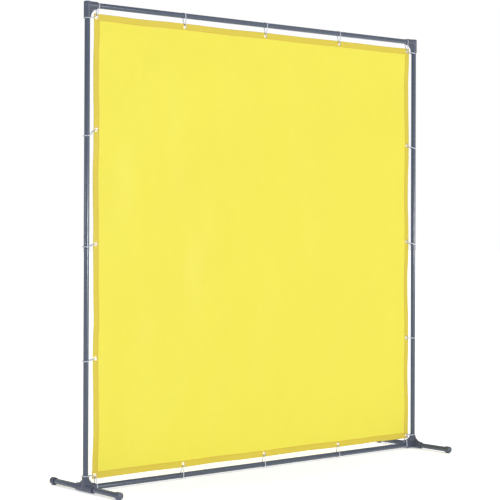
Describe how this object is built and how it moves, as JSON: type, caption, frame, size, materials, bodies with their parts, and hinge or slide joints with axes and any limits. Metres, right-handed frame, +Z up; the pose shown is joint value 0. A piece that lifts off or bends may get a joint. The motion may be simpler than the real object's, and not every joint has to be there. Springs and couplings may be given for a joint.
{
  "type": "welding curtain screen",
  "caption": "Free-standing welding screen: a square frame of coated steel tube in moulded joints on straight feet, with a hemmed translucent vinyl curtain tied inside it through eyelets.",
  "frame": {"origin": "on the floor, under the middle of the screen", "axes": "+X along the screen to its right as seen from the front, +Y from the front to the back along the feet, +Z up"},
  "size_m": [1.899, 0.472, 1.9307],
  "materials": {
    "coated_tube": "gloss",
    "moulded_joint": "satin",
    "toe_cap": "satin",
    "curtain_vinyl": "satin",
    "eyelet_metal": "satin",
    "tie_nylon": "satin"
  },
  "bodies": {
    "frame": {"post_left": "coated_tube", "post_right": "coated_tube", "top_rail": "coated_tube", "bottom_rail": "coated_tube", "foot_tube_front_left": "coated_tube", "foot_tube_back_left": "coated_tube", "foot_tube_front_right": "coated_tube", "foot_tube_back_right": "coated_tube", "corner_joint_left": "moulded_joint", "corner_joint_right": "moulded_joint", "base_joint_left": "moulded_joint", "base_joint_right": "moulded_joint", "toe_cap_front_left": "toe_cap", "toe_cap_back_left": "toe_cap", "toe_cap_front_right": "toe_cap", "toe_cap_back_right": "toe_cap"},
    "curtain": {"curtain": "curtain_vinyl", "eyelet_top_1": "eyelet_metal", "eyelet_top_2": "eyelet_metal", "eyelet_top_3": "eyelet_metal", "eyelet_top_4": "eyelet_metal", "eyelet_top_5": "eyelet_metal", "eyelet_right_1": "eyelet_metal", "eyelet_right_2": "eyelet_metal", "eyelet_right_3": "eyelet_metal", "eyelet_bottom_1": "eyelet_metal", "eyelet_bottom_2": "eyelet_metal", "eyelet_bottom_3": "eyelet_metal", "eyelet_bottom_4": "eyelet_metal", "eyelet_bottom_5": "eyelet_metal", "eyelet_left_1": "eyelet_metal", "eyelet_left_2": "eyelet_metal", "eyelet_left_3": "eyelet_metal"},
    "top_ties": {"cable_tie_top_1": "tie_nylon", "cable_tie_top_2": "tie_nylon", "cable_tie_top_3": "tie_nylon", "cable_tie_top_4": "tie_nylon", "cable_tie_top_5": "tie_nylon"},
    "bottom_ties": {"cable_tie_bottom_1": "tie_nylon", "cable_tie_bottom_2": "tie_nylon", "cable_tie_bottom_3": "tie_nylon", "cable_tie_bottom_4": "tie_nylon", "cable_tie_bottom_5": "tie_nylon"},
    "left_ties": {"cable_tie_left_1": "tie_nylon", "cable_tie_left_2": "tie_nylon", "cable_tie_left_3": "tie_nylon", "cable_tie_left_4": "tie_nylon", "cable_tie_left_5": "tie_nylon"},
    "right_ties": {"cable_tie_right_1": "tie_nylon", "cable_tie_right_2": "tie_nylon", "cable_tie_right_3": "tie_nylon", "cable_tie_right_4": "tie_nylon", "cable_tie_right_5": "tie_nylon"}
  },
  "joints": [
    {"name": "curtain_sway", "type": "slide", "parent": "frame", "child": "curtain", "axis": [0, 1, 0], "range_m": [-0.004, 0.004]},
    {"name": "top_tie_swing", "type": "hinge", "parent": "frame", "child": "top_ties", "pos_m": [0, 0, 1.9162], "axis": [1, 0, 0], "range_deg": [-6, 6]},
    {"name": "bottom_tie_swing", "type": "hinge", "parent": "frame", "child": "bottom_ties", "pos_m": [0, 0, 0.0162], "axis": [1, 0, 0], "range_deg": [-6, 6]},
    {"name": "left_tie_swing", "type": "hinge", "parent": "frame", "child": "left_ties", "pos_m": [-0.935, 0, 0.9662], "axis": [0, 0, 1], "range_deg": [-6, 6]},
    {"name": "right_tie_swing", "type": "hinge", "parent": "frame", "child": "right_ties", "pos_m": [0.935, 0, 0.9662], "axis": [0, 0, 1], "range_deg": [-6, 6]}
  ],
  "couplings": [
    {"joint": "top_tie_swing", "follows": "curtain_sway", "rad_per_m": 23.92},
    {"joint": "bottom_tie_swing", "follows": "curtain_sway", "rad_per_m": -23.92},
    {"joint": "left_tie_swing", "follows": "curtain_sway", "rad_per_m": 23.92},
    {"joint": "right_tie_swing", "follows": "curtain_sway", "rad_per_m": -23.92}
  ]
}
